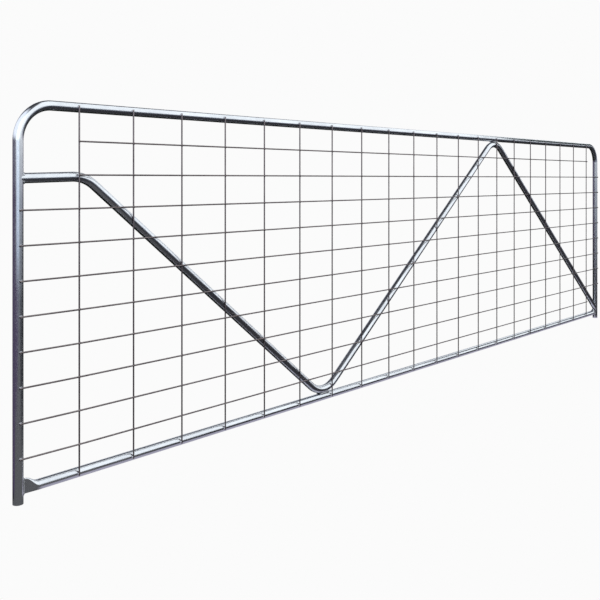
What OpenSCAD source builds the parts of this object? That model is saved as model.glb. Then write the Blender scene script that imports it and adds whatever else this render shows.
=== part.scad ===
// Livestock panel gate leaf: one bent tube frame, a bottom rail, an N-shaped stay and welded mesh.
// The leaf stands in the XZ plane. The hinge stile's axis is the Z axis and the foot is at z = 0.
// The latch stile is at -X, and the mesh is on the -Y side.

/* [Leaf] */
// Distance between the axes of the two stiles
leaf_l = 4180; // [3480:10:5020]
// Height of the top rail's axis above the feet
leaf_h = 1130; // [940:10:1360]
// Height of the bottom rail's axis above the feet
rail_z = 38; // [34:1:80]
// Outside diameter of every tube
tube_d = 30; // [25:0.5:36]
// Wall thickness of every tube
tube_t = 2; // [1.4:0.1:3]
// Radius of the frame's two corner bends, at the tube's axis
corner_r = 106; // [80:1:160]
// Hairline between a straight length of tube and the bend that goes on from it
seam = 0.02; // [0.01:0.01:0.1]

/* [Bottom rail ends] */
// Length over which each end of the bottom rail is pressed flat
press_l = 45; // [35:1:70]
// Thickness of the pressed end
press_t = 5; // [4.4:0.1:7]

/* [Stay] */
// Distance from the latch stile's axis to the stay's elbow
elbow_x = 220; // [200:1:300]
// Height of the stay's elbow, below the top rail's axis
elbow_drop = 206; // [190:1:260]
// How far the stay's first run falls from the elbow to the latch stile
run_fall = 6; // [0:1:20]
// Distance from the latch stile's axis to the stay's bottom bend
low_x = 1349; // [1200:1:1500]
// Radius of the stay's bends, at the tube's axis
stay_r = 120; // [90:1:160]
// Height of the stay's lower end above the bottom rail's axis, at the hinge stile's axis
stay_end = 26; // [22:1:60]
// Upright wire, counted from the latch side, that the stay's top bend is under
top_wire = 14; // [10:1:16]
// Gap that the weld fills between a bend of the stay and the rail it meets
weld_gap = 0.1; // [0.05:0.05:1]
// Clearance on each side of the slot in the stay's lower end
slot_gap = 0.5; // [0.3:0.1:1.5]

/* [Mesh] */
// Diameter of the mesh wires
wire_d = 5; // [3:0.1:6]
// Number of upright wires
uprights = 20; // [16:1:24]
// Number of level wires
levels = 10; // [8:1:12]
// Distance from the top rail's axis to the highest level wire
top_gap = 102; // [90:1:130]
// Distance from the lowest level wire to the bottom rail's axis
low_gap = 90; // [80:1:120]
// Distance from a stile's axis to the nearest upright wire
side_gap = 190; // [150:1:260]
// How far a wire runs past the axis of the tube that it is welded to
wire_over = 5; // [3:0.5:9]

/* [Welds] */
// Width of the weld beads between tubes
bead = 5; // [3:0.5:7]
// Radius of the weld on the end of a wire
spot_r = 6; // [4:0.5:8]

/* [Hidden] */
$fn = 64;
r_o = tube_d / 2;
r_i = r_o - tube_t;
r_w = wire_d / 2;
latch_x = -leaf_l;
// Depths of the wires' axes: the uprights touch the tubes, the level wires cross in front of them
up_y = -(r_o + r_w);
lev_y = up_y - wire_d;
pitch_x = (leaf_l - 2 * side_gap) / (uprights - 1);
pitch_z = (leaf_h - rail_z - top_gap - low_gap) / (levels - 1);
function up_x(i) = latch_x + side_gap + i * pitch_x;
function lev_z(j) = leaf_h - top_gap - j * pitch_z;

// The stay's corner points, from the latch stile to the hinge stile. The heights of the two middle
// ones are settled so that its bends stop weld_gap short of the rails.
bend_low = rail_z + tube_d + weld_gap;
bend_top = leaf_h - tube_d - weld_gap;
function stay_points(low, top) = [
    [latch_x, leaf_h - elbow_drop - run_fall], [latch_x + elbow_x, leaf_h - elbow_drop],
    [latch_x + low_x, low], [up_x(top_wire - 1), top], [0, rail_z + stay_end]];
function slope(p, i) = atan2(p[i + 1][1] - p[i][1], p[i + 1][0] - p[i][0]);
function reach(p, i) = let(a = slope(p, i - 1), b = slope(p, i))
    stay_r * (cos((a + b) / 2) / cos((a - b) / 2) - 1);
function settle(n, low, top) = let(p = stay_points(low, top))
    n == 0 ? p : settle(n - 1, bend_low - reach(p, 2), bend_top + reach(p, 3));
stay_p = settle(12, bend_low, bend_top);
stay_n = len(stay_p);
function turn(i) = slope(stay_p, i) - slope(stay_p, i - 1);
// Height of the stay's first run where the first upright wire crosses it
run_z = stay_p[0][1] + side_gap * tan(slope(stay_p, 0));
// How far the bead under the stay's lower end stands proud of it, and the height of that bead's toe
proud = bead * 0.35;
stay_tilt = -slope(stay_p, stay_n - 2);
stay_toe = rail_z + stay_end + r_o * tan(stay_tilt) - (r_o + proud) / cos(stay_tilt) - weld_gap;
// Each end stops short of its stile's axis, so that coping leaves no feather edge
function setback(i) = i == 0 ? 0.2 * r_o : i == stay_n - 1 ? 0.9 * r_o : stay_r * tan(abs(turn(i)) / 2);

function two(n) = n < 10 ? str("0", n) : str(n);
function up_name(i) = str("upright_wire_", two(i + 1));
function lev_name(j) = str("level_wire_", two(j + 1));

// A cylinder between two points
module rod(a, b, r) {
    d = b - a;
    translate(a) rotate([0, acos(d[2] / norm(d)), atan2(d[1], d[0])]) cylinder(h = norm(d), r = r);
}

// A straight length of tube between two points
module tube(a, b) {
    d = (b - a) / norm(b - a);
    color("silver") difference() {
        rod(a, b, r_o);
        rod(a - d, b + d, r_i);
    }
}

// A solid bend in the leaf's plane: centre, radius of the bend, first angle, angle turned, tube radius
module bend(c, big_r, from, sweep, r) {
    translate([c[0], 0, c[1]]) rotate([90, 0, 0]) rotate([0, 0, from])
        rotate_extrude(angle = sweep, $fn = max($fn, 96)) translate([big_r, 0]) circle(r);
}

// The same bend as a tube
module bent_tube(c, big_r, from, sweep) {
    color("silver") translate([c[0], 0, c[1]]) rotate([90, 0, 0]) rotate([0, 0, from])
        rotate_extrude(angle = sweep, $fn = 96) translate([big_r, 0]) difference() {
            circle(r_o);
            circle(r_i);
        }
}

// A stile filled to radius r, with its foot running past the floor by more
module stile_fill(x, r, more = 0) {
    translate([x, 0, -more]) cylinder(h = leaf_h - corner_r + more, r = r);
}

module top_rail() {
    tube([latch_x + corner_r + seam, 0, leaf_h], [-corner_r - seam, 0, leaf_h]);
}

module latch_corner() {
    bent_tube([latch_x + corner_r, leaf_h - corner_r], corner_r, 90, 90);
}

module hinge_corner() {
    bent_tube([-corner_r, leaf_h - corner_r], corner_r, 0, 90);
}

// A stile, with its foot cut square and open
module stile(x) {
    tube([x, 0, 0], [x, 0, leaf_h - corner_r - seam]);
}

// Ring of points round the rail's end where it is pressed to thickness t, at place x along it. It has
// the girth of the round tube, its lower edge stays level, and it is inset by g all round.
press_sides = 48;
press_steps = 8;
press_root = 2;
press_step = 0.25;
function flat_h(t) = PI * (tube_d - t) / 2;
function ring(x, t, g) = let(s = flat_h(t), r = t / 2 - min(g, t / 2 - 0.25))
    [for (i = [0:press_sides - 1]) let(a = 360 * (i + 0.5) / press_sides)
        [x, r * cos(a), r * sin(a) + (sin(a) > 0 ? s : 0) - r_o + t / 2]];
function pressed(u) = let(v = min(1, u / 0.8)) tube_d + (press_t - tube_d) * v * v * (3 - 2 * v);

// A solid through rings of points, which follow each other along +X
module loft(rings) {
    n = press_sides;
    last = len(rings) - 1;
    walls = [for (k = [0:last - 1]) for (i = [0:n - 1]) let(a = k * n + i, b = k * n + (i + 1) % n)
        each [[a, a + n, b], [b, a + n, b + n]]];
    polyhedron([for (r = rings) each r],
        concat([[for (i = [0:n - 1]) i]], walls, [[for (i = [0:n - 1]) last * n + n - 1 - i]]));
}

// The pressed end as a solid. It starts a root's length inside the round tube and ends flat, a tip's
// length past where the stile's side is.
module pressed_fill(g, tip) {
    inset = g + press_step;
    loft(concat(
        [ring(-press_root, tube_d, inset)],
        [for (k = [0:press_steps]) ring(k / press_steps * press_l, pressed(k / press_steps), inset)],
        [ring(press_l + tip, press_t, inset)]));
}

module rail_end(side, g, tip) {
    x = side > 0 ? -r_o - press_l : latch_x + r_o + press_l;
    translate([x, 0, rail_z]) mirror([side > 0 ? 0 : 1, 0, 0]) pressed_fill(g, tip);
}

// The bottom rail, with both ends pressed flat and butted to the stiles
module bottom_rail() {
    a = [latch_x + r_o + press_l, 0, rail_z];
    b = [-r_o - press_l, 0, rail_z];
    color("silver") difference() {
        union() {
            rod(a, b, r_o);
            rail_end(1, 0, 0);
            rail_end(-1, 0, 0);
        }
        rod(a, b, r_i);
        rail_end(1, tube_t, 1);
        rail_end(-1, tube_t, 1);
    }
}

// The space of the rail's pressed hinge end, w wide
module press_space(w) {
    translate([-r_o - press_l, -w / 2, rail_z - r_o]) cube([r_o + press_l, w, flat_h(press_t) + press_t + 0.1]);
}

// Straight length i of the stay, counted from the latch stile. The first is coped to the latch
// stile, and the last to the hinge stile and slotted over the rail's pressed end.
module stay_straight(i) {
    a = slope(stay_p, i);
    d = [cos(a), sin(a)];
    p = stay_p[i] + (setback(i) + seam) * d;
    q = stay_p[i + 1] - (setback(i + 1) + seam) * d;
    color("silver") difference() {
        rod([p[0], 0, p[1]], [q[0], 0, q[1]], r_o);
        rod([p[0] - d[0], 0, p[1] - d[1]], [q[0] + d[0], 0, q[1] + d[1]], r_i);
        if (i == 0) stile_fill(latch_x, r_o);
        if (i == stay_n - 2) {
            stile_fill(0, r_o);
            press_space(press_t + 2 * slot_gap);
        }
    }
}

function bend_centre(i) = let(a = slope(stay_p, i - 1), s = turn(i) > 0 ? 1 : -1)
    stay_p[i] - setback(i) * [cos(a), sin(a)] + s * stay_r * [-sin(a), cos(a)];

// Bend i of the stay
module stay_bend(i) {
    a = slope(stay_p, i - 1);
    bent_tube(bend_centre(i), stay_r, turn(i) > 0 ? a - 90 : a + 90 + turn(i), abs(turn(i)));
}

// Bead all round the rail's pressed end, where it meets a stile. At the hinge it stops under the stay.
module rail_weld(x, side) {
    color("gray") difference() {
        translate([x, 0, rail_z]) mirror([side > 0 ? 1 : 0, 0, 0]) difference() {
            loft([ring(r_o - 2, press_t, -0.9 * bead), ring(r_o + bead, press_t, -0.05 * bead)]);
            loft([ring(r_o - 3, press_t, press_step), ring(r_o + bead + 1, press_t, press_step)]);
        }
        stile_fill(x, r_o);
        if (side > 0) translate([-3 * r_o, -r_o, stay_toe]) cube([3 * r_o, 2 * r_o, 4 * r_o]);
    }
}

// The two beads over and under the stay's coped end: point p on the stile's axis, with the stay leaving at angle a
module stay_weld(p, a) {
    far = 5 * r_o;
    d = [cos(a), 0, sin(a)];
    e = [p[0], 0, p[1]];
    color("gray") difference() {
        intersection() {
            rod(e, e + far * d, r_o + proud);
            translate([p[0], 0, p[1] - far]) cylinder(h = 2 * far, r = r_o + bead * 0.8);
            translate([p[0] - 2 * far, -0.9 * r_o, p[1] - 2 * far]) cube([4 * far, 1.8 * r_o, 4 * far]);
        }
        rod(e - 5 * d, e + (far + 5) * d, r_o);
        translate([p[0], 0, p[1] - 2 * far]) cylinder(h = 4 * far, r = r_o);
        if (p[0] == 0) press_space(press_t);
    }
}

// Beads in the front and back grooves between bend i of the stay and a rail at height z
module bend_weld(i, z) {
    $fn = 200;
    side = turn(i) > 0 ? 1 : -1;
    c = bend_centre(i);
    mid = z + side * (r_o + weld_gap / 2);
    for (f = [-1, 1]) color("gray") difference() {
        rod([c[0] - 24, f * 9, mid], [c[0] + 24, f * 9, mid], 3.4);
        rod([c[0] - 40, 0, z], [c[0] + 40, 0, z], r_o);
        bend(c, stay_r, side > 0 ? -115 : 65, 50, r_o);
    }
}

// A weld under the end of a wire. The tube runs along level or upright, and so does the wire across it.
module wire_weld(p, wire_up) {
    $fn = 200;
    color("gray") difference() {
        translate([p[0], -r_o + 2.5, p[1]]) rotate([90, 0, 0]) cylinder(h = wire_d + 1, r1 = spot_r, r2 = r_w + 0.6);
        if (wire_up) {
            translate([p[0], up_y, p[1] - 2 * spot_r]) cylinder(h = 4 * spot_r, r = r_w);
            rod([p[0] - 2 * spot_r, 0, p[1]], [p[0] + 2 * spot_r, 0, p[1]], r_o);
        } else {
            rod([p[0] - 2 * spot_r, up_y, p[1]], [p[0] + 2 * spot_r, up_y, p[1]], r_w);
            translate([p[0], 0, p[1] - 2 * spot_r]) cylinder(h = 4 * spot_r, r = r_o);
        }
    }
}

module upright_wire(i) {
    color("lightgray") translate([up_x(i), up_y, rail_z - wire_over])
        cylinder(h = leaf_h - rail_z + 2 * wire_over, r = r_w);
}

// A level wire. An end that is welded to a stile is drawn back by one wire's thickness to touch it.
module level_wire(j) {
    z = lev_z(j);
    a = up_x(0) - wire_over;
    b = up_x(uprights - 1) + wire_over;
    stub = 2 * spot_r;
    color("lightgray") kinked(concat(
        j >= 2 ? [[latch_x - wire_over, up_y, z], [latch_x + stub, up_y, z]] : [],
        [[a, lev_y, z], [b, lev_y, z]],
        j >= 1 && j <= levels - 2 ? [[-stub, up_y, z], [wire_over, up_y, z]] : []));
}

// A wire through the points p, a little thicker at each kink
module kinked(p) {
    last = len(p) - 1;
    gap = 0.15;
    for (i = [0:last - 1]) {
        d = (p[i + 1] - p[i]) / norm(p[i + 1] - p[i]);
        rod(p[i] + (i > 0 ? gap : 0) * d, p[i + 1] - (i + 1 < last ? gap : 0) * d, r_w);
        if (i > 0) translate(p[i]) rotate([0, 90, 0]) sphere(r_w + 0.03);
    }
}

top_rail();
latch_corner();
hinge_corner();
stile(latch_x);  // latch_stile
stile(0);  // hinge_stile
bottom_rail();
stay_straight(0);  // stay_level_run
stay_bend(1);  // stay_elbow
stay_straight(1);  // stay_leg_1
stay_bend(2);  // stay_low_bend
stay_straight(2);  // stay_leg_2
stay_bend(3);  // stay_top_bend
stay_straight(3);  // stay_leg_3
rail_weld(latch_x, -1);  // rail_weld_latch
rail_weld(0, 1);  // rail_weld_hinge
stay_weld(stay_p[0], slope(stay_p, 0));  // stay_weld_latch
stay_weld(stay_p[stay_n - 1], 180 + slope(stay_p, stay_n - 2));  // stay_weld_hinge
bend_weld(3, leaf_h);  // stay_weld_top_rail
bend_weld(2, rail_z);  // stay_weld_bottom_rail
for (i = [0:uprights - 1]) wire_weld([up_x(i), leaf_h], true);  // wire_welds_top_rail
for (i = [0:uprights - 1]) wire_weld([up_x(i), rail_z], true);  // wire_welds_bottom_rail
for (j = [2:levels - 1]) wire_weld([latch_x, lev_z(j)], false);  // wire_welds_latch_stile
for (j = [1:levels - 2]) wire_weld([0, lev_z(j)], false);  // wire_welds_hinge_stile
wire_weld([up_x(0), run_z], true);  // wire_weld_stay
for (i = [0:uprights - 1])
    upright_wire(i);
for (j = [0:levels - 1])
    level_wire(j);
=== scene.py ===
# %% [markdown]
# # A galvanised field gate
# The gate leaf arrives as a frame of finished parts: one bent tube, a bottom rail, a zig-zag stay,
# thirty wires and their welds. This lesson gives them their zinc coat, adds the small things that
# welding and zinc leave behind, and lights them.
#
# The first cell loads the parts. Everything is in metres, with the hinge stile standing on the origin
# and the leaf running away along -X.

# %% Load the parts
import math

import bpy
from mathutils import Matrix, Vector


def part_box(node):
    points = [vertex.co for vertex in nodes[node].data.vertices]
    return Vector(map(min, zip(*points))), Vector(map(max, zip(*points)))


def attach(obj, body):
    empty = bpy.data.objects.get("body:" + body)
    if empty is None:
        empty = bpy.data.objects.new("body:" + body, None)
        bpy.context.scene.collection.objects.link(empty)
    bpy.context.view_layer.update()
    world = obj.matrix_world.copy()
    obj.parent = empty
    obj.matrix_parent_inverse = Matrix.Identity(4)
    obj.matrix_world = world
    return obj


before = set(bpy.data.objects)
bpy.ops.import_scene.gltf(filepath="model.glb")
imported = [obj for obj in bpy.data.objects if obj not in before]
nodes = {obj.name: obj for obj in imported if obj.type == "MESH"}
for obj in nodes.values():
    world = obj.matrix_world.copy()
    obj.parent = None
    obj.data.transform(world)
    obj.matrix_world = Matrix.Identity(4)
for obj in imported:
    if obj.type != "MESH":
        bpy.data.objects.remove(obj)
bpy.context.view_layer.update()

# %% [markdown]
# ## The camera
# The view is from beyond the latch end and 0.9 m up, a little below the top rail. The camera is level,
# so every stile and upright wire stays vertical in the render. The lens is slid down instead of
# tilted, as is often done for buildings, because it keeps upright lines parallel.

# %% Place the camera
LENS_MM, SENSOR_MM = 49.93, 36.0
LENS_SLIDE = -0.2016  # as a share of the frame's width
BEYOND_LATCH, IN_FRONT, EYE_HEIGHT = 1.2475, 2.1396, 0.9159
TURN_DEGREES = -48.966

LATCH_X = (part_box("latch_stile")[0][0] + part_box("latch_stile")[1][0]) / 2
camera = bpy.data.objects.new("camera", bpy.data.cameras.new("camera"))
bpy.context.scene.collection.objects.link(camera)
camera.data.lens = LENS_MM
camera.data.sensor_width = SENSOR_MM
camera.data.shift_y = LENS_SLIDE
camera.location = (LATCH_X - BEYOND_LATCH, -IN_FRONT, EYE_HEIGHT)
camera.rotation_euler = (math.radians(90), 0, math.radians(TURN_DEGREES))
bpy.context.scene.camera = camera
bpy.context.scene.view_settings.view_transform = "Standard"
print("camera at", [round(v, 3) for v in camera.location])

# %% [markdown]
# ## Helpers for node trees
# A material is a small graph. A few helpers keep the cells below short. They make a node and set its
# plain values, join two sockets, move a value from one range to another, mix two colours, and make a
# ramp of colours. A Mix node has a set of sockets for each kind of value, so its colour sockets are
# picked by their number.

# %% Node helpers
MIX_FIRST, MIX_SECOND, MIX_RESULT = 6, 7, 2


def make_node(tree, kind, at=(0, 0), **values):
    node = tree.nodes.new(kind)
    node.location = at
    for name, value in values.items():
        if name in node.inputs:
            node.inputs[name].default_value = value
        else:
            setattr(node, name, value)
    return node


def wire_up(tree, source, target):
    tree.links.new(source, target)


def remap(tree, value, start, end, low=0.0, high=1.0, at=(0, 0), shape="LINEAR"):
    node = make_node(tree, "ShaderNodeMapRange", at, interpolation_type=shape)
    for label, number in (("From Min", start), ("From Max", end), ("To Min", low), ("To Max", high)):
        node.inputs[label].default_value = number
    wire_up(tree, value, node.inputs["Value"])
    return node.outputs["Result"]


def fade(tree, value, start, end, at):
    return remap(tree, value, start, end, at=at, shape="SMOOTHSTEP")


def mixed(tree, factor, first, second, at):
    node = make_node(tree, "ShaderNodeMix", at, data_type="RGBA")
    wire_up(tree, factor, node.inputs["Factor"])
    for socket, source in ((node.inputs[MIX_FIRST], first), (node.inputs[MIX_SECOND], second)):
        if isinstance(source, tuple):
            socket.default_value = (*source, 1)
        else:
            wire_up(tree, source, socket)
    return node.outputs[MIX_RESULT]


def product(tree, first, second, at):
    node = make_node(tree, "ShaderNodeMath", at, operation="MULTIPLY")
    wire_up(tree, first, node.inputs[0])
    wire_up(tree, second, node.inputs[1])
    return node.outputs["Value"]


def ramp(tree, stops, at=(0, 0)):
    node = tree.nodes.new("ShaderNodeValToRGB")
    node.location = at
    bar = node.color_ramp
    while len(bar.elements) < len(stops):
        bar.elements.new(0.5)
    for element, (place, colour) in zip(bar.elements, stops):
        element.position = place
        element.color = (*colour, 1.0)
    return node


print("helpers ready")

# %% [markdown]
# ## Zinc, as a node group
# Hot-dip galvanising leaves three things on a tube. Zinc freezes in flat crystals, called spangle,
# each a slightly different grey. It drains along the metal in faint streaks. And it dulls in clouds as
# it weathers. The tubes, the wires and the welds all need this, at different sizes, so it is built
# once as a node group. A group can't hold the shader itself here: it gives out colour, roughness and
# height, and each material feeds those to its own Principled shader. Only the clouds and streaks
# reach the height, because the edges of crystals would break a tube's long reflections into dashes.

# %% The zinc group
STREAK_STRETCH = (4.0, 22.0, 4.0)
STREAK_WEIGHT = 0.15


def build_zinc_group():
    group = bpy.data.node_groups.new("zinc_coat", "ShaderNodeTree")
    face = group.interface
    for label, value in (("Spangle Scale", 90.0), ("Spangle Contrast", 0.3), ("Cloud Scale", 6.0),
                         ("Smooth", 0.2), ("Rough", 0.4)):
        face.new_socket(label, in_out="INPUT", socket_type="NodeSocketFloat").default_value = value
    for label, value in (("Light Zinc", (0.66, 0.69, 0.72, 1)), ("Dull Zinc", (0.40, 0.42, 0.46, 1))):
        face.new_socket(label, in_out="INPUT", socket_type="NodeSocketColor").default_value = value
    for label, kind in (("Color", "Color"), ("Roughness", "Float"), ("Height", "Float")):
        face.new_socket(label, in_out="OUTPUT", socket_type="NodeSocket" + kind)

    given = make_node(group, "NodeGroupInput", (-1200, 0))
    result = make_node(group, "NodeGroupOutput", (900, 0))
    where = make_node(group, "ShaderNodeTexCoord", (-1200, 400))

    crystals = make_node(group, "ShaderNodeTexVoronoi", (-700, 350))
    wire_up(group, where.outputs["Object"], crystals.inputs["Vector"])
    wire_up(group, given.outputs["Spangle Scale"], crystals.inputs["Scale"])
    grey = make_node(group, "ShaderNodeSeparateColor", (-480, 350))
    wire_up(group, crystals.outputs["Color"], grey.inputs["Color"])

    clouds = make_node(group, "ShaderNodeTexNoise", (-700, 0), Detail=5.0, Roughness=0.6)
    wire_up(group, where.outputs["Object"], clouds.inputs["Vector"])
    wire_up(group, given.outputs["Cloud Scale"], clouds.inputs["Scale"])

    stretch = make_node(group, "ShaderNodeMapping", (-900, -350), Scale=STREAK_STRETCH)
    wire_up(group, where.outputs["Object"], stretch.inputs["Vector"])
    streaks = make_node(group, "ShaderNodeTexNoise", (-700, -350), Scale=3.0, Detail=4.0)
    wire_up(group, stretch.outputs["Vector"], streaks.inputs["Vector"])

    flake = remap(group, grey.outputs["Red"], 0.0, 1.0, -0.5, 0.5, (-260, 350))
    flake = product(group, flake, given.outputs["Spangle Contrast"], (-60, 350))
    cloud = remap(group, clouds.outputs["Fac"], 0.3, 0.7, at=(-260, 0))
    streak = remap(group, streaks.outputs["Fac"], 0.35, 0.65, -STREAK_WEIGHT, STREAK_WEIGHT, (-260, -350))

    broad = make_node(group, "ShaderNodeMath", (140, -200), operation="ADD")
    wire_up(group, cloud, broad.inputs[0])
    wire_up(group, streak, broad.inputs[1])
    dull = make_node(group, "ShaderNodeMath", (320, 100), operation="ADD", use_clamp=True)
    wire_up(group, broad.outputs["Value"], dull.inputs[0])
    wire_up(group, flake, dull.inputs[1])

    tint = mixed(group, dull.outputs["Value"], given.outputs["Light Zinc"], given.outputs["Dull Zinc"],
                 (560, 250))
    sheen = make_node(group, "ShaderNodeMapRange", (560, 0))
    wire_up(group, dull.outputs["Value"], sheen.inputs["Value"])
    wire_up(group, given.outputs["Smooth"], sheen.inputs["To Min"])
    wire_up(group, given.outputs["Rough"], sheen.inputs["To Max"])

    wire_up(group, tint, result.inputs["Color"])
    wire_up(group, sheen.outputs["Result"], result.inputs["Roughness"])
    wire_up(group, broad.outputs["Value"], result.inputs["Height"])
    return group


zinc_coat = build_zinc_group()
print("zinc group with", len(zinc_coat.nodes), "nodes")

# %% [markdown]
# ## Three finishes
# A tube is big enough to show its crystals and its long, sharp reflections. A wire is drawn before it
# is dipped, so its coat is finer, and here it is darker and a little redder. A weld is lumpy, and zinc
# sits rough on it. All three are metal, so their colour is the colour of their reflections.

# %% The finishes
RELIEF_DEPTH = 0.0006


def galvanised(name, spangle, contrast, cloud, light, dull, smooth, rough, bump):
    material = bpy.data.materials.new(name)
    material.use_nodes = True
    tree = material.node_tree
    shader = tree.nodes["Principled BSDF"]
    shader.inputs["Metallic"].default_value = 1.0
    coat = make_node(tree, "ShaderNodeGroup", (-700, 0))
    coat.node_tree = zinc_coat
    settings = {"Spangle Scale": spangle, "Spangle Contrast": contrast, "Cloud Scale": cloud,
                "Light Zinc": (*light, 1), "Dull Zinc": (*dull, 1), "Smooth": smooth, "Rough": rough}
    for socket, value in settings.items():
        coat.inputs[socket].default_value = value
    relief = make_node(tree, "ShaderNodeBump", (-300, -250), Strength=bump, Distance=RELIEF_DEPTH)
    wire_up(tree, coat.outputs["Height"], relief.inputs["Height"])
    wire_up(tree, coat.outputs["Color"], shader.inputs["Base Color"])
    wire_up(tree, coat.outputs["Roughness"], shader.inputs["Roughness"])
    wire_up(tree, relief.outputs["Normal"], shader.inputs["Normal"])
    print("finish:", name)
    return material


tube_zinc = galvanised("tube_zinc", spangle=95.0, contrast=0.30, cloud=5.0, light=(0.71, 0.73, 0.76),
                       dull=(0.58, 0.60, 0.64), smooth=0.16, rough=0.27, bump=0.035)
wire_zinc = galvanised("wire_zinc", spangle=240.0, contrast=0.25, cloud=9.0, light=(0.25, 0.215, 0.215),
                       dull=(0.15, 0.125, 0.13), smooth=0.30, rough=0.46, bump=0.15)
weld_zinc = galvanised("weld_zinc", spangle=420.0, contrast=0.60, cloud=60.0, light=(0.60, 0.61, 0.63),
                       dull=(0.36, 0.36, 0.38), smooth=0.30, rough=0.55, bump=0.60)

# %% [markdown]
# ## Coat the parts
# Each part that arrives has one material slot. The slot's material is swapped and the mesh is left as
# it is.

# %% Assign the finishes
def finish_for(name):
    if "weld" in name:
        return weld_zinc
    return wire_zinc if "_wire_" in name else tube_zinc


for name, part in nodes.items():
    for slot in part.material_slots:
        slot.material = finish_for(name)
print("coated", len(nodes), "parts")

# %% [markdown]
# ## Measures for the small pieces
# The small pieces sit on the parts, so their places are read from the parts' own boxes: a tube's
# radius, the heights of the rails, and the rows of wires.

# %% Read the places from the parts
def middle(name):
    low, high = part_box(name)
    return (low + high) / 2


tube_r = (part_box("top_rail")[1][2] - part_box("top_rail")[0][2]) / 2
TOP_Z = middle("top_rail")[2]
RAIL_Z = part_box("bottom_rail")[0][2] + tube_r
wire_low, wire_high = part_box("upright_wire_01")
wire_r = (wire_high[0] - wire_low[0]) / 2
upright_xs = [middle(name)[0] for name in sorted(nodes) if name.startswith("upright_wire_")]
level_zs = [middle(name)[2] for name in sorted(nodes) if name.startswith("level_wire_")]
touch_y = wire_low[1]
print("tube radius", round(tube_r, 4), "wire radius", round(wire_r, 4))
print("crossings", len(upright_xs) * len(level_zs))

# %% [markdown]
# ## Helpers for Geometry Nodes
# The gate has three things that repeat by the hundred: the squeezed metal where wires cross, the
# ripples of a weld, and the drops that zinc leaves as it drains. Each is one small shape set out by a
# Geometry Nodes tree. The first helper makes a tree with named inputs. The second puts the tree on a
# path, sets the inputs by their identifiers, takes the result as a plain mesh and throws the path away.
# Two more do what every tree needs: random sizes, and one small ball scaled and set on each point.

# %% Geometry Nodes helpers
def new_tree(name, numbers):
    tree = bpy.data.node_groups.new(name, "GeometryNodeTree")
    tree.interface.new_socket("Geometry", in_out="INPUT", socket_type="NodeSocketGeometry")
    for label, kind, value in numbers:
        socket = tree.interface.new_socket(label, in_out="INPUT", socket_type=kind)
        socket.default_value = value
    tree.interface.new_socket("Geometry", in_out="OUTPUT", socket_type="NodeSocketGeometry")
    given = make_node(tree, "NodeGroupInput", (-900, 0))
    result = make_node(tree, "NodeGroupOutput", (1100, 0))
    return tree, given, result


def close_tree(tree, instances, result, material):
    real = make_node(tree, "GeometryNodeRealizeInstances", (600, 0))
    round_off = make_node(tree, "GeometryNodeSetShadeSmooth", (760, 0))
    paint = make_node(tree, "GeometryNodeSetMaterial", (920, 0), Material=material)
    wire_up(tree, instances, real.inputs["Geometry"])
    wire_up(tree, real.outputs["Geometry"], round_off.inputs["Geometry"])
    wire_up(tree, round_off.outputs["Geometry"], paint.inputs["Geometry"])
    wire_up(tree, paint.outputs["Geometry"], result.inputs["Geometry"])


def grow(name, tree, points, edges, settings):
    path = bpy.data.meshes.new(name + "_path")
    path.from_pydata(points, edges, [])
    holder = bpy.data.objects.new(name + "_path", path)
    bpy.context.scene.collection.objects.link(holder)
    modifier = holder.modifiers.new("grow", "NODES")
    modifier.node_group = tree
    for item in tree.interface.items_tree:
        if item.item_type == "SOCKET" and item.in_out == "INPUT" and item.name in settings:
            modifier[item.identifier] = settings[item.name]
    bpy.context.view_layer.update()
    graph = bpy.context.evaluated_depsgraph_get()
    mesh = bpy.data.meshes.new_from_object(holder.evaluated_get(graph), depsgraph=graph)
    bpy.data.objects.remove(holder)
    bpy.data.meshes.remove(path)
    mesh.name = name
    piece = bpy.data.objects.new(name, mesh)
    bpy.context.scene.collection.objects.link(piece)
    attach(piece, "root")
    print(name, "has", len(mesh.polygons), "faces")
    return piece


def random_between(tree, low, high, seed_socket, at):
    dice = make_node(tree, "FunctionNodeRandomValue", at, data_type="FLOAT_VECTOR")
    dice.inputs["Min"].default_value = low
    dice.inputs["Max"].default_value = high
    wire_up(tree, seed_socket, dice.inputs["Seed"])
    return dice.outputs["Value"]


def set_out(tree, points, scale, result, material, rings=6, turned=None, chosen=None):
    ball = make_node(tree, "GeometryNodeMeshUVSphere", (-100, -200), Segments=8, Rings=rings, Radius=1.0)
    size = make_node(tree, "ShaderNodeVectorMath", (-100, -400), operation="MULTIPLY")
    for socket, source in zip(size.inputs, scale):
        wire_up(tree, source, socket)
    place = make_node(tree, "GeometryNodeInstanceOnPoints", (200, 0))
    wire_up(tree, points, place.inputs["Points"])
    wire_up(tree, ball.outputs["Mesh"], place.inputs["Instance"])
    wire_up(tree, size.outputs["Vector"], place.inputs["Scale"])
    if turned is not None:
        wire_up(tree, turned, place.inputs["Rotation"])
    if chosen is not None:
        wire_up(tree, chosen, place.inputs["Selection"])
    close_tree(tree, place.outputs["Instances"], result, material)


def evenly_spaced(tree, given, spacing):
    curve = make_node(tree, "GeometryNodeMeshToCurve", (-700, 100))
    wire_up(tree, given.outputs["Geometry"], curve.inputs["Mesh"])
    even = make_node(tree, "GeometryNodeResampleCurve", (-500, 100), mode="LENGTH")
    wire_up(tree, curve.outputs["Curve"], even.inputs["Curve"])
    wire_up(tree, given.outputs[spacing], even.inputs["Length"])
    return even.outputs["Curve"]


# %% [markdown]
# ## Where the wires cross
# Welded mesh is made by squeezing each crossing between two electrodes. The wires sink into each other
# and a thin lens of metal is pressed out of the joint. There are two hundred crossings in straight
# rows, so the tree makes its own grid of points from the pitch and the counts, and puts one flattened
# ball on each, no two quite the same size.

# %% Squeezed metal at the crossings
LENS_WIDE, LENS_DEEP = 1.6, 0.7  # in wire radii


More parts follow.
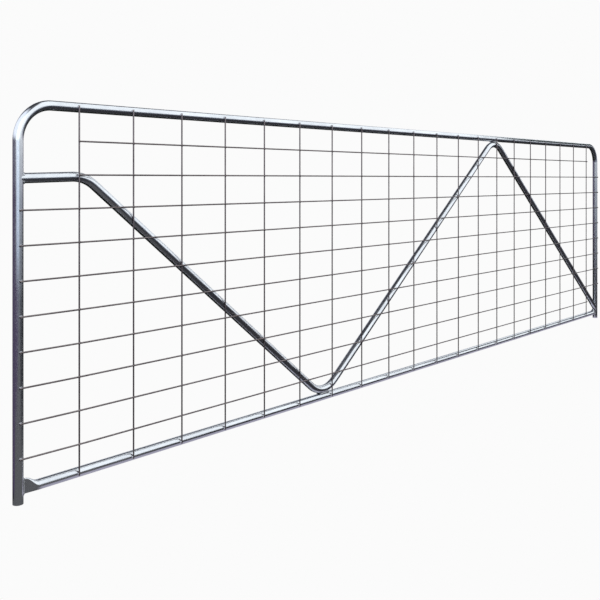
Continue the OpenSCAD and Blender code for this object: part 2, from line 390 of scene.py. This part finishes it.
def crossing_tree():
    tree, given, result = new_tree("crossing_lens", (
        ("Columns", "NodeSocketInt", 20), ("Rows", "NodeSocketInt", 10),
        ("Width", "NodeSocketFloat", 1.0), ("Height", "NodeSocketFloat", 1.0),
        ("Centre", "NodeSocketVector", (0, 0, 0)),
        ("Lens", "NodeSocketVector", (0.004, 0.002, 0.004)), ("Seed", "NodeSocketInt", 3)))
    grid = make_node(tree, "GeometryNodeMeshGrid", (-600, 200))
    wire_up(tree, given.outputs["Width"], grid.inputs["Size X"])
    wire_up(tree, given.outputs["Height"], grid.inputs["Size Y"])
    wire_up(tree, given.outputs["Columns"], grid.inputs["Vertices X"])
    wire_up(tree, given.outputs["Rows"], grid.inputs["Vertices Y"])
    stand_up = make_node(tree, "GeometryNodeTransform", (-400, 200), Rotation=(math.radians(90), 0, 0))
    wire_up(tree, grid.outputs["Mesh"], stand_up.inputs["Geometry"])
    wire_up(tree, given.outputs["Centre"], stand_up.inputs["Translation"])
    uneven = random_between(tree, (0.85, 0.9, 0.85), (1.15, 1.1, 1.15), given.outputs["Seed"],
                            (-400, -300))
    set_out(tree, stand_up.outputs["Geometry"], (given.outputs["Lens"], uneven), result, wire_zinc,
            rings=5)
    return tree


grow("crossing_lenses", crossing_tree(), [(0, 0, 0)], [], {
    "Columns": len(upright_xs), "Rows": len(level_zs), "Width": upright_xs[-1] - upright_xs[0],
    "Height": level_zs[0] - level_zs[-1],
    "Centre": ((upright_xs[0] + upright_xs[-1]) / 2, touch_y, (level_zs[0] + level_zs[-1]) / 2),
    "Lens": (wire_r * LENS_WIDE, wire_r * LENS_DEEP, wire_r * LENS_WIDE), "Seed": 3})

# %% [markdown]
# ## Ripples along the welds
# A weld laid by hand freezes in overlapping ripples, about a millimetre apart. The beads arrive as
# smooth fillets, so the ripples are set into them along the joint: round the pressed ends of the
# bottom rail, over and under the stay's coped end at the latch stile, and in the grooves where the
# stay's bends meet the rails. The tree turns each path into a curve, divides it evenly, and turns
# every ripple to follow it. The gaps say how far a path lies outside the face that it follows.

# %% Paths of the welds
STILE_GAP = 0.0012
PRESSED_HALF, PRESSED_GAP = 0.0025, 0.0021
COPE_GAP, COPE_DEGREES = 0.0007, 48
GROOVE_HALF, GROOVE_STEP, GROOVE_POINTS, GROOVE_Y = 0.020, 0.008, 6, 0.0102
RUN_SLOPE = -0.006 / 0.22  # the level run rises 6 mm in 220 from the stile to the elbow
RING_STEPS, COPE_STEPS = 40, 14


def open_path(points):
    start = len(weld_points)
    weld_points.extend(points)
    weld_edges.extend((start + i, start + i + 1) for i in range(len(points) - 1))


def closed_path(points):
    start = len(weld_points)
    open_path(points)
    weld_edges.append((start + len(points) - 1, start))


def on_stile(stile_x, side, y):
    return stile_x + side * math.sqrt(max((tube_r + STILE_GAP) ** 2 - y * y, 0.0))


def pressed_end_path(stile_x, side, top_limit):
    round_it = PRESSED_HALF + PRESSED_GAP
    pressed_rise = math.pi * (tube_r - PRESSED_HALF)
    points = []
    for i in range(RING_STEPS):
        a = 2 * math.pi * (i + 0.5) / RING_STEPS
        y = round_it * math.cos(a)
        z = RAIL_Z - tube_r + PRESSED_HALF + round_it * math.sin(a)
        if math.sin(a) > 0:
            z += pressed_rise
        points.append((on_stile(stile_x, side, y), y, min(z, top_limit)))
    return points


def coped_end_path(stile_x, side, axis_z, fall, above):
    ring = tube_r + COPE_GAP
    points = []
    for i in range(COPE_STEPS + 1):
        a = math.radians(-COPE_DEGREES + 2 * COPE_DEGREES * i / COPE_STEPS)
        y = ring * math.sin(a)
        x = on_stile(stile_x, side, y)
        up = ring * math.cos(a) * math.hypot(1, fall)
        points.append((x, y, axis_z - fall * (x - stile_x) * side + (up if above else -up)))
    return points


weld_points, weld_edges = [], []
closed_path(pressed_end_path(LATCH_X, 1, top_limit=1.0))
closed_path(pressed_end_path(0.0, -1, top_limit=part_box("rail_weld_hinge")[1][2] - STILE_GAP))
run_weld_z = middle("stay_weld_latch")[2]
for above in (True, False):
    open_path(coped_end_path(LATCH_X, 1, run_weld_z + RUN_SLOPE * tube_r, RUN_SLOPE, above))
for weld, groove_z in (("stay_weld_bottom_rail", RAIL_Z + tube_r),
                       ("stay_weld_top_rail", TOP_Z - tube_r)):
    start_x = middle(weld)[0] - GROOVE_HALF
    for y in (-GROOVE_Y, GROOVE_Y):
        open_path([(start_x + GROOVE_STEP * i, y, groove_z) for i in range(GROOVE_POINTS)])
print("weld paths:", len(weld_points), "points")

# %% Ripples
def ripple_tree():
    tree, given, result = new_tree("weld_ripple", (
        ("Pitch", "NodeSocketFloat", 0.0013), ("Ripple", "NodeSocketVector", (0.001, 0.0015, 0.0015)),
        ("Seed", "NodeSocketInt", 5)))
    even = evenly_spaced(tree, given, "Pitch")
    along = make_node(tree, "GeometryNodeInputTangent", (-500, -150))
    turn = make_node(tree, "FunctionNodeAlignRotationToVector", (-300, -150), axis="X")
    wire_up(tree, along.outputs["Tangent"], turn.inputs["Vector"])
    uneven = random_between(tree, (0.9, 0.82, 0.82), (1.1, 1.12, 1.12), given.outputs["Seed"],
                            (-300, -500))
    set_out(tree, even, (given.outputs["Ripple"], uneven), result, weld_zinc,
            turned=turn.outputs["Rotation"])
    return tree


grow("weld_ripples", ripple_tree(), weld_points, weld_edges,
     {"Pitch": 0.0013, "Ripple": (0.0011, 0.0017, 0.0017), "Seed": 5})

# %% [markdown]
# ## Drops of zinc
# When the gate is lifted out of the zinc bath, the last of it runs to the lowest line of each tube and
# freezes there in small beads. They are few and uneven, so the tree spaces points along the line,
# keeps some of them by chance, and moves each one a little. The seed is fixed, so the drops are the
# same every time.

# %% Drops under the rails
YES_OR_NO = 3  # the Random Value node's fourth output is its true or false
SUNK_IN = 0.0003
TOP_END_GAP, BOTTOM_END_GAP = 0.03, 0.10


def drop_tree():
    tree, given, result = new_tree("zinc_drop", (
        ("Spacing", "NodeSocketFloat", 0.06), ("Drop", "NodeSocketVector", (0.001, 0.001, 0.001)),
        ("Share Kept", "NodeSocketFloat", 0.4), ("Seed", "NodeSocketInt", 8)))
    even = evenly_spaced(tree, given, "Spacing")
    shift = make_node(tree, "GeometryNodeSetPosition", (-250, 100))
    wire_up(tree, even, shift.inputs["Geometry"])
    astray = random_between(tree, (-0.025, -0.0012, 0), (0.025, 0.0012, 0.0003), given.outputs["Seed"],
                            (-500, -100))
    wire_up(tree, astray, shift.inputs["Offset"])
    keep = make_node(tree, "FunctionNodeRandomValue", (-300, -350), data_type="BOOLEAN")
    wire_up(tree, given.outputs["Share Kept"], keep.inputs["Probability"])
    wire_up(tree, given.outputs["Seed"], keep.inputs["Seed"])
    uneven = random_between(tree, (0.8, 0.8, 0.5), (1.5, 1.1, 1.2), given.outputs["Seed"], (-300, -600))
    set_out(tree, shift.outputs["Geometry"], (given.outputs["Drop"], uneven), result, tube_zinc,
            chosen=keep.outputs[YES_OR_NO])
    return tree


rail_low, rail_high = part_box("top_rail")
top_z, bottom_z = TOP_Z - tube_r + SUNK_IN, RAIL_Z - tube_r + SUNK_IN
drop_ends = [(rail_low[0] + TOP_END_GAP, 0, top_z), (rail_high[0] - TOP_END_GAP, 0, top_z),
             (LATCH_X + BOTTOM_END_GAP, 0, bottom_z), (-BOTTOM_END_GAP, 0, bottom_z)]
grow("zinc_drops", drop_tree(), drop_ends, [(0, 1), (2, 3)],
     {"Spacing": 0.07, "Drop": (0.0013, 0.0011, 0.0014), "Share Kept": 0.45, "Seed": 8})

# %% [markdown]
# ## Sky, floor and light
# A curved metal tube shows its surroundings more than it shows itself. The bands on the real gate's
# tubes look like bright sky on top, dark ground in front and a dark backdrop behind, with sharp changes
# between them. So for reflections the sky has a bright front and a dark back with a grey horizon, and
# the floor has a pale strip under the gate. Where the camera looks straight at them, both are plain
# off-white. Ray by ray, a Light Path node picks which one is met.
#
# A low bright band at the back lights the side of the tubes that faces away from the camera, for anyone
# who walks round the gate. A dark flag, which the camera doesn't see, hangs past the hinge end, so that
# the far half of the top rail mirrors something dark and stands out from the pale background.
#
# Each fade below is between two places on an axis, and each colour has a name.

# %% Sky
SKY_STRENGTH = 1.4
OFF_WHITE = (0.965, 0.965, 0.965, 1)
HORIZON_NEAR, HORIZON_FAR, HORIZON_LEFT = (0.14, 0.17, 0.21), (0.28, 0.26, 0.32), (0.05, 0.04, 0.07)
SKY_BRIGHT, SKY_OVERHEAD, SKY_LEFT = (0.94, 0.98, 1.0), (0.05, 0.05, 0.055), (0.85, 0.90, 1.0)
BACKDROP = ((0.0, (0.010, 0.010, 0.012)), (0.50, (0.06, 0.045, 0.085)), (0.53, (0.08, 0.07, 0.10)),
            (0.57, (0.42, 0.45, 0.52)), (0.68, (0.50, 0.53, 0.58)), (0.75, (0.05, 0.05, 0.06)),
            (1.0, (0.03, 0.03, 0.035)))
OVERHEAD_TILT = (-0.6, 0.0, 1.0)
BACK_FACING = (-0.26, 0.966, 0.0)


def along_axis(tree, vector, axis, at):
    node = make_node(tree, "ShaderNodeVectorMath", at, operation="DOT_PRODUCT")
    wire_up(tree, vector, node.inputs[0])
    node.inputs[1].default_value = axis
    return node.outputs["Value"]


def split_axes(tree, coordinates, at):
    where = make_node(tree, "ShaderNodeTexCoord", (at[0] - 200, at[1]))
    parts = make_node(tree, "ShaderNodeSeparateXYZ", at)
    wire_up(tree, where.outputs[coordinates], parts.inputs["Vector"])
    return where.outputs[coordinates], parts.outputs["X"], parts.outputs["Y"], parts.outputs["Z"]


def finish_tree(tree, mirrored, seen, output):
    ray = make_node(tree, "ShaderNodeLightPath", (150, 400))
    choose = make_node(tree, "ShaderNodeMixShader", (350, 0))
    wire_up(tree, ray.outputs["Is Camera Ray"], choose.inputs[0])
    wire_up(tree, mirrored.outputs[0], choose.inputs[1])
    wire_up(tree, seen.outputs[0], choose.inputs[2])
    out = make_node(tree, output, (550, 0))
    wire_up(tree, choose.outputs[0], out.inputs["Surface"])


def build_sky():
    world = bpy.data.worlds.new("sky")
    bpy.context.scene.world = world
    world.use_nodes = True
    tree = world.node_tree
    tree.nodes.clear()
    direction, x, _, z = split_axes(tree, "Generated", (-1100, 0))

    horizon = mixed(tree, fade(tree, x, 0.0, 0.9, (-900, -300)), HORIZON_NEAR, HORIZON_FAR, (-700, -300))
    horizon = mixed(tree, fade(tree, x, -0.3, -0.6, (-900, -150)), horizon, HORIZON_LEFT, (-550, -450))
    tilted = along_axis(tree, direction, OVERHEAD_TILT, (-1100, -700))
    overhead = fade(tree, tilted, 0.84, 0.92, (-900, -700))
    open_sky = mixed(tree, overhead, SKY_BRIGHT, SKY_OVERHEAD, (-700, -700))
    front = mixed(tree, fade(tree, z, 0.01, 0.06, (-900, -500)), horizon, open_sky, (-500, -300))

    back = ramp(tree, BACKDROP, (-700, 200))
    wire_up(tree, remap(tree, z, -1.0, 1.0, at=(-900, 0)), back.inputs["Fac"])
    behind = fade(tree, along_axis(tree, direction, BACK_FACING, (-900, 500)), 0.02, 0.10, (-700, 500))
    around = mixed(tree, behind, front, back.outputs["Color"], (-250, 100))

    left, high = fade(tree, x, -0.15, -0.40, (-700, 800)), fade(tree, z, 0.10, 0.25, (-700, 1000))
    whole = mixed(tree, product(tree, left, high, (-500, 900)), around, SKY_LEFT, (-50, 200))
    mirrored = make_node(tree, "ShaderNodeBackground", (150, 100), Strength=SKY_STRENGTH)
    wire_up(tree, whole, mirrored.inputs["Color"])
    seen = make_node(tree, "ShaderNodeBackground", (150, -100), Color=OFF_WHITE, Strength=1.0)
    finish_tree(tree, mirrored, seen, "ShaderNodeOutputWorld")


build_sky()
print("sky built")

# %% Floor
FLOOR_HALF, FLOOR_Z = 60.0, -0.0005
GROUND_HINGE_SIDE, GROUND_LATCH_SIDE = (0.038, 0.038, 0.044), (0.125, 0.125, 0.130)
BEYOND_LATCH_END, GROUND_DEEP = (0.09, 0.068, 0.125), (0.21, 0.24, 0.30)
STRIP_UNDER_GATE, GROUND_BEHIND = (0.50, 0.48, 0.58), (0.012, 0.015, 0.012)
FLAG_CLOTH, FLAG_GLOW = (0.02, 0.03, 0.03), (0.03, 0.045, 0.045)
FLAG_CORNERS = [(0.6, -1.0, 1.41), (14.0, -1.0, 1.41), (14.0, 0.16, 1.56), (-1.0, 0.16, 1.56)]


def build_floor():
    mesh = bpy.data.meshes.new("floor")
    corners = [(-FLOOR_HALF, -FLOOR_HALF, FLOOR_Z), (FLOOR_HALF, -FLOOR_HALF, FLOOR_Z),
               (FLOOR_HALF, FLOOR_HALF, FLOOR_Z), (-FLOOR_HALF, FLOOR_HALF, FLOOR_Z)]
    mesh.from_pydata(corners, [], [(0, 1, 2, 3)])
    floor = bpy.data.objects.new("floor", mesh)
    bpy.context.scene.collection.objects.link(floor)
    material = bpy.data.materials.new("pale_floor")
    material.use_nodes = True
    tree = material.node_tree
    tree.nodes.clear()
    _, x, y, _ = split_axes(tree, "Object", (-900, 0))

    near = mixed(tree, fade(tree, x, -3.3, -4.0, (-900, 600)), GROUND_HINGE_SIDE, GROUND_LATCH_SIDE,
                 (-700, 600))
    side = mixed(tree, fade(tree, x, -4.9, -5.4, (-900, 900)), near, BEYOND_LATCH_END, (-700, 900))
    ground = mixed(tree, fade(tree, y, -3.0, -8.0, (-700, 300)), side, GROUND_DEEP, (-500, 300))
    under_gate = product(tree, fade(tree, y, -0.055, -0.040, (-700, 0)),
                         fade(tree, x, -4.12, -4.08, (-700, -150)), (-500, 0))
    strip = mixed(tree, under_gate, ground, STRIP_UNDER_GATE, (-300, 200))
    far = mixed(tree, fade(tree, x, -4.20, -4.32, (-700, -300)), GROUND_BEHIND, BEYOND_LATCH_END,
                (-500, -300))
    whole = mixed(tree, fade(tree, y, 0.025, 0.040, (-700, -600)), strip, far, (-100, 0))
    mirrored = make_node(tree, "ShaderNodeEmission", (150, 100), Strength=1.0)
    wire_up(tree, whole, mirrored.inputs["Color"])
    seen = make_node(tree, "ShaderNodeEmission", (150, -100), Color=OFF_WHITE, Strength=1.0)
    finish_tree(tree, mirrored, seen, "ShaderNodeOutputMaterial")
    mesh.materials.append(material)


def build_flag(corners):
    mesh = bpy.data.meshes.new("dark_flag")
    mesh.from_pydata(corners, [], [(0, 1, 2, 3)])
    flag = bpy.data.objects.new("dark_flag", mesh)
    bpy.context.scene.collection.objects.link(flag)
    material = bpy.data.materials.new("flag_cloth")
    material.use_nodes = True
    shader = material.node_tree.nodes["Principled BSDF"]
    shader.inputs["Base Color"].default_value = (*FLAG_CLOTH, 1)
    shader.inputs["Roughness"].default_value = 1.0
    shader.inputs["Emission Color"].default_value = (*FLAG_GLOW, 1)
    shader.inputs["Emission Strength"].default_value = 1.0
    mesh.materials.append(material)
    flag.visible_camera = False
    flag.visible_diffuse = False
    flag.visible_shadow = False


build_floor()
build_flag(FLAG_CORNERS)
print("floor and flag built")

# %% [markdown]
# ## One soft lamp
# The near stile has a light blue gleam down its middle, which the sky alone doesn't give it. A tall
# soft lamp stands in front of the latch end, near enough that only this stile finds it in full.

# %% Soft lamp
LAMP_WATTS, LAMP_BLUE = 1.9, (0.68, 0.83, 1.0)
LAMP_LOW, LAMP_HIGH = 0.62, 1.9
LAMP_NEAR, LAMP_FAR = (LATCH_X - 0.06, -0.80), (LATCH_X - 0.70, -0.37)
LAMP_AIM = (LATCH_X, 0, 1.2)


def build_lamp(name, start, end, low, high, watts, colour, aim):
    lamp = bpy.data.objects.new(name, bpy.data.lights.new(name, "AREA"))
    lamp.data.shape = "RECTANGLE"
    lamp.data.size = (Vector(end) - Vector(start)).length
    lamp.data.size_y = high - low
    lamp.data.energy = watts
    lamp.data.color = colour
    lamp.visible_camera = False
    lamp.location = ((start[0] + end[0]) / 2, (start[1] + end[1]) / 2, (low + high) / 2)
    across = (Vector(end) - Vector(start)).normalized()
    facing = Vector((-across.y, across.x, 0))
    if facing.dot(Vector(aim) - lamp.location) < 0:
        facing.negate()
    lamp.rotation_euler = facing.to_track_quat("-Z", "Y").to_euler()
    bpy.context.scene.collection.objects.link(lamp)


build_lamp("soft_front", LAMP_NEAR, LAMP_FAR, LAMP_LOW, LAMP_HIGH, LAMP_WATTS, LAMP_BLUE, LAMP_AIM)
print("lamp built")
